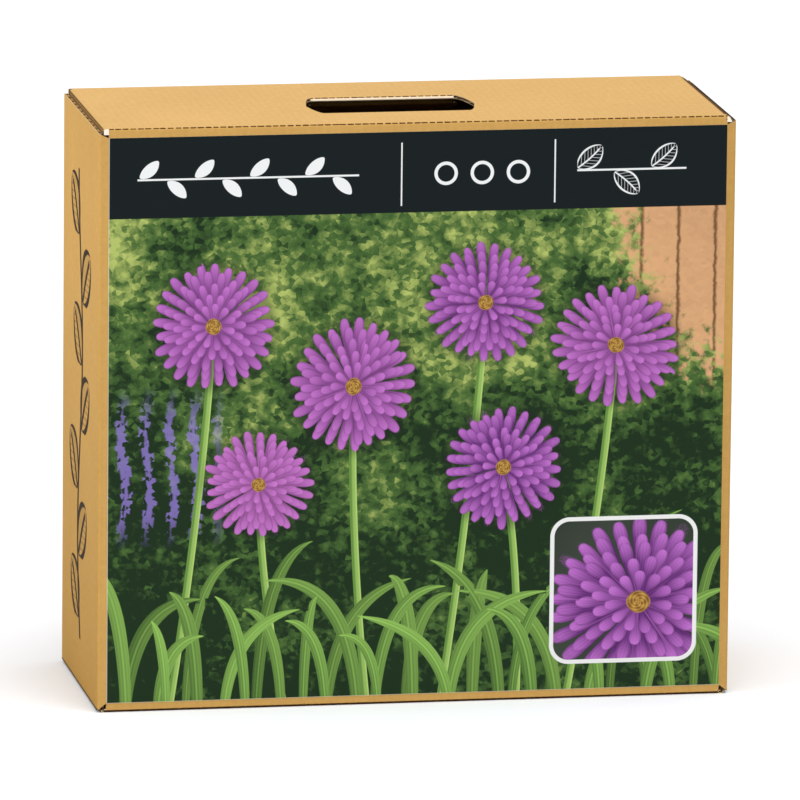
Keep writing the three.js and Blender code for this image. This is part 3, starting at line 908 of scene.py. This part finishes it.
def print_skin():
    p = Paint("printed_picture")
    x, _, z = p.at.parts()
    # out of focus behind: a hedge, a warm planked wall on the right, and lilac spikes on the left
    broad = p.at.noise(0.021, 3, 0.55)
    leafy = p.at.shift(7, 0, 3).cells(0.17, "SMOOTH_F1")
    small = p.at.stretch(1, 0, 1.25).cells(0.36, output="Color").parts()[0]
    spark = p.at.stretch(1, 0, 1).noise(0.22, 3, 0.6)
    light = z.rise(20, 240) * 0.5 + (broad - 0.5) * 1.5 + (0.45 - leafy) * 0.5
    light = light + (small - 0.5) * 0.35 + (spark - 0.5) * 0.7
    hedge = p.mix(light.rise(0.0, 0.42), (0.008, 0.026, 0.007), (0.060, 0.130, 0.028))
    hedge = p.mix(light.rise(0.34, 0.9), hedge, (0.42, 0.50, 0.13))
    plank = ((x + (spark - 0.5) * 3.0) / 17.0).fract()
    wall = p.mix(plank.rise(0.0, 0.09) * plank.rise(1.0, 0.93), (0.16, 0.075, 0.03), (0.60, 0.33, 0.16))
    wall = p.shade(wall, 0.75 + broad * 0.5 + small * 0.1)
    away_x, away_z = (x - 150.0) / 62.0, (z - 232.0) / 88.0
    warm = (away_x * away_x + away_z * away_z).sqrt() + (spark - 0.5) * 0.9 + (leafy - 0.4) * 0.35
    picture = p.mix(warm.rise(1.0, 0.8), hedge, wall)
    spike = (((x + 128.0) / 11.0 + (z * 0.11).sin() * 0.12).fract() - 0.5).abs()
    spikes = (small * 0.30 + 0.04 - spike).rise(0, 0.09) * x.rise(-84, -98)
    spikes = spikes * z.rise(74, 92) * z.rise(150, 128)
    picture = p.mix(spikes * 0.75, picture, (0.24, 0.17, 0.50))
    # stems, leaves and blossoms
    across, along, _ = p.mark("stem", "Vector").parts()
    stem = p.mix(across * 0.5 + 0.5 + (across * 7.0).cos() * 0.1, (0.07, 0.19, 0.025), (0.42, 0.62, 0.16))
    picture = p.mix((1.0 - across.abs()).rise(-0.05, 0.12) * along.rise(-0.01, 0.0), picture, stem)
    for layer in range(LAYERS):
        leaf, mask = strap_leaf(p, f"leaf{layer}", 0.35 + 0.25 * layer)
        picture = p.mix(mask, picture, leaf)
    u, v, which = p.mark("bloom", "Vector").parts()
    bloom, cover = bloom_colour(p, u, v, which)
    shadow = (u * u + v * v).sqrt()
    far = which.rise(len(BLOOMS) + 0.6, len(BLOOMS) + 0.4)
    picture = p.mix(shadow.rise(BLOOM_REACH, 0.85) * far * 0.55, picture, (0.010, 0.016, 0.008))
    picture = p.mix(cover * far, picture, bloom)
    # the inset with a close view of one blossom
    qx = ((x - INSET_X).abs() - (INSET - INSET_CORNER)).most(0.0)
    qz = ((z - INSET_Z).abs() - (INSET - INSET_CORNER)).most(0.0)
    edge = (qx * qx + qz * qz).sqrt() - INSET_CORNER
    within = p.mix(broad, (0.010, 0.018, 0.012), (0.055, 0.07, 0.05))
    within = p.mix(cover * (1.0 - far), within, bloom)
    picture = p.mix(edge.rise(0.15, -0.15), picture, (0.80, 0.80, 0.78))
    picture = p.mix(edge.rise(-INSET_RIM + 0.15, -INSET_RIM - 0.15), picture, within)
    # the band along the top: a white sprig, a rule, three rings, a rule and a sprig drawn in line
    up = z - HEADER_MIDDLE
    leaf, _, twig = sprig(x + 127.0, up, pitch=12.5, length=11.5, width=2.7, line=0.42)
    marks = leaf.most(twig) * x.rise(-128, -127.6) * x.rise(-27.2, -27.6)
    for rule in (-8.0, 62.0):
        marks = marks.most((0.32 - (x - rule).abs()).rise(-0.1, 0.1) * (14.5 - up.abs()).rise(0, 0.2))
    cell = (((x - 4.0) / 16.5).fract() - 0.5) * 16.5
    ring = ((cell * cell + up * up).sqrt() - 4.6).abs()
    marks = marks.most((0.75 - ring).rise(-0.1, 0.1) * x.rise(3.9, 4.1) * x.rise(53.6, 53.4))
    leaf, lines, twig = sprig(x - 72.0, up, pitch=17.0, length=15.0, width=4.2, line=0.42)
    marks = marks.most(lines.most(twig) * x.rise(72, 72.4) * x.rise(122.4, 122.0))
    band = p.mix(marks, (0.0040, 0.0085, 0.0098), (0.82, 0.83, 0.82))
    picture = p.mix(z.rise(HEADER - 0.15, HEADER + 0.15), picture, band)
    # a painted highlight along the picture's left and lower edges
    white = (x + PRINT_X).rise(0.45, 0.3).most((z - PRINT_FOOT).rise(0.3, 0.2))
    picture = p.mix(white * 0.6, picture, (0.80, 0.70, 0.52))
    grain = p.at.noise(1.4, 2)
    picture = p.shade(picture, 0.97 + grain * 0.06)
    washboard = ((x + WALL_X) * (2 * pi / PITCH)).cos()
    height = washboard * 0.012 + p.at.noise(0.05, 2) * 0.35 + grain * 0.006
    return p.finish(picture, 0.40 + grain * 0.12, height, Specular_IOR_Level=0.12)


def paper_skin(name, tone):
    p = Paint(name)
    grain = p.at.noise(1.7, 3, 0.6)
    return p.finish(p.mix(grain, tuple(v * 0.9 for v in tone), tone), 0.9 - grain * 0.15, grain * 0.03)


def ruled(low, high, count):
    """The sheet's grid in one direction, with a narrow cell at each end for its rim."""
    return np.concatenate([[low, low + 0.12], np.linspace(low + 2, high - 2, count), [high - 0.12, high]])


across, up = ruled(-PRINT_X, PRINT_X, 118), ruled(PRINT_FOOT, PRINT_TOP, 108)
gx, gz = np.meshgrid(across, up, indexing="ij")
# The sheet is hardly waved, and pressed down at its rim.
dip = 0.012 * (1 - np.cos(gx * 2 * pi / 47 + gz / 90)) / 2
rim = np.minimum(PRINT_X - np.abs(gx), np.minimum(gz - PRINT_FOOT, PRINT_TOP - gz))
dip = dip + np.where(rim < 0.01, 0.05, 0)
near = np.stack([gx, SHEET_FACE + dip, gz], -1)
far = np.stack([gx, np.full_like(gx, FRONT - 0.005), gz], -1)
board = Board()
PRINTED, PLAIN = 0, 1  # the two materials of the sheet
board.shell(near, far, (PRINTED, PLAIN, PLAIN))
sheet_mesh = board.finish(
    "printed_sheet_paper", "carton", "printed_sheet", slot="printed_paper",
    materials=[print_skin(), paper_skin("white_paper", (0.78, 0.77, 0.73))],
)
drawing = Drawing(sheet_mesh)
drawing.blooms("bloom", (*BLOOMS, CLOSE_UP))
stems = []
for (x, z, _), foot, way in zip(BLOOMS, FEET, (1, -1, 1, 1, -1, 1)):
    stems.append((((foot, 2), ((foot + x) / 2 + way * 5, z * 0.55), (x, z)), 1.75))
drawing.strips("stem", stems)
for layer in range(LAYERS):
    leaves = []
    for k in range(LEAVES):
        foot = -136 + k * 33 + layer * 8.2 + draw.uniform(-5, 5)
        # Those of one layer lean the same way, so that they don't cross.
        lean, length = (-1) ** layer * draw.uniform(4, 32), draw.uniform(46, 80) * (1.15 - 0.16 * layer)
        tip = (foot + lean * 1.5, 2 + length * draw.uniform(0.75, 1))
        leaves.append((((foot, 1), (foot + lean * 0.15, length * 0.85), tip), draw.uniform(3.0, 4.6)))
    drawing.strips(f"leaf{layer}", leaves)

# ---- floor, light and camera
floor_skin = Paint("pale_floor")
grain = floor_skin.at.noise(0.02, 2)
floor_skin.finish(floor_skin.mix(grain, (0.86, 0.878, 0.905), (0.87, 0.888, 0.915)), 0.85 + grain * 0.1)
floor_mesh = bpy.data.meshes.new("floor")
floor_mesh.from_pydata([(-8, -8, 0), (8, -8, 0), (8, 8, 0), (-8, 8, 0)], [], [(0, 1, 2, 3)])
floor_mesh.materials.append(floor_skin.material)
new_object("floor", floor_mesh)

stage = bpy.context.scene
stage.view_settings.view_transform = "Standard"
studio = bpy.data.worlds.new("studio")
stage.world = studio
studio.use_nodes = True
background = studio.node_tree.nodes["Background"]
background.inputs["Color"].default_value = (1, 1, 1, 1)
background.inputs["Strength"].default_value = 0.6


def lamp(name, kind, energy, back):
    """A light that shines along the opposite of back."""
    light = bpy.data.lights.new(name, kind)
    light.energy = energy
    made = new_object(name, light)
    made.rotation_mode = "QUATERNION"
    made.rotation_quaternion = back.to_track_quat("Z", "Y")
    return made


lamp("key", "SUN", 2.12, Vector((0.07, -0.25, 0.965))).data.angle = radians(45)
FILL_AT, FILL_TO = Vector((-1.0, -0.2, 0.75)), Vector((-0.145, 0, 0.2))  # metres
fill = lamp("fill", "AREA", 3, FILL_AT - FILL_TO)
fill.location = FILL_AT
fill.data.size = 0.7

# The camera stands far off, in front, above and a little to the left, as the photograph's did.
AZIMUTH, ELEVATION, ROLL = (radians(v) for v in (10.34, 11.612, 0.583))
DISTANCE, ACROSS, UP = (v * 2 * WALL_X for v in (17.760, -0.00640, 0.01444))
LENS_PIXELS, PHOTO_PIXELS, SENSOR = 11327.0, 800, 36
ahead = Vector((sin(AZIMUTH) * cos(ELEVATION), cos(AZIMUTH) * cos(ELEVATION), -sin(ELEVATION)))
right = Vector((cos(AZIMUTH), -sin(AZIMUTH), 0))
up = right.cross(ahead)
right, up = right * cos(ROLL) + up * sin(ROLL), up * cos(ROLL) - right * sin(ROLL)
spot = (Vector((0, 0, HEIGHT / 2)) - ahead * DISTANCE - right * ACROSS - up * UP) * MM
lens = bpy.data.cameras.new("camera")
lens.sensor_width = SENSOR
lens.lens = LENS_PIXELS / PHOTO_PIXELS * SENSOR
lens.clip_start, lens.clip_end = 0.1, 100
camera = new_object("camera", lens)
camera.matrix_world = Matrix((*((right[k], up[k], -ahead[k], spot[k]) for k in range(3)), (0, 0, 0, 1)))
stage.camera = camera
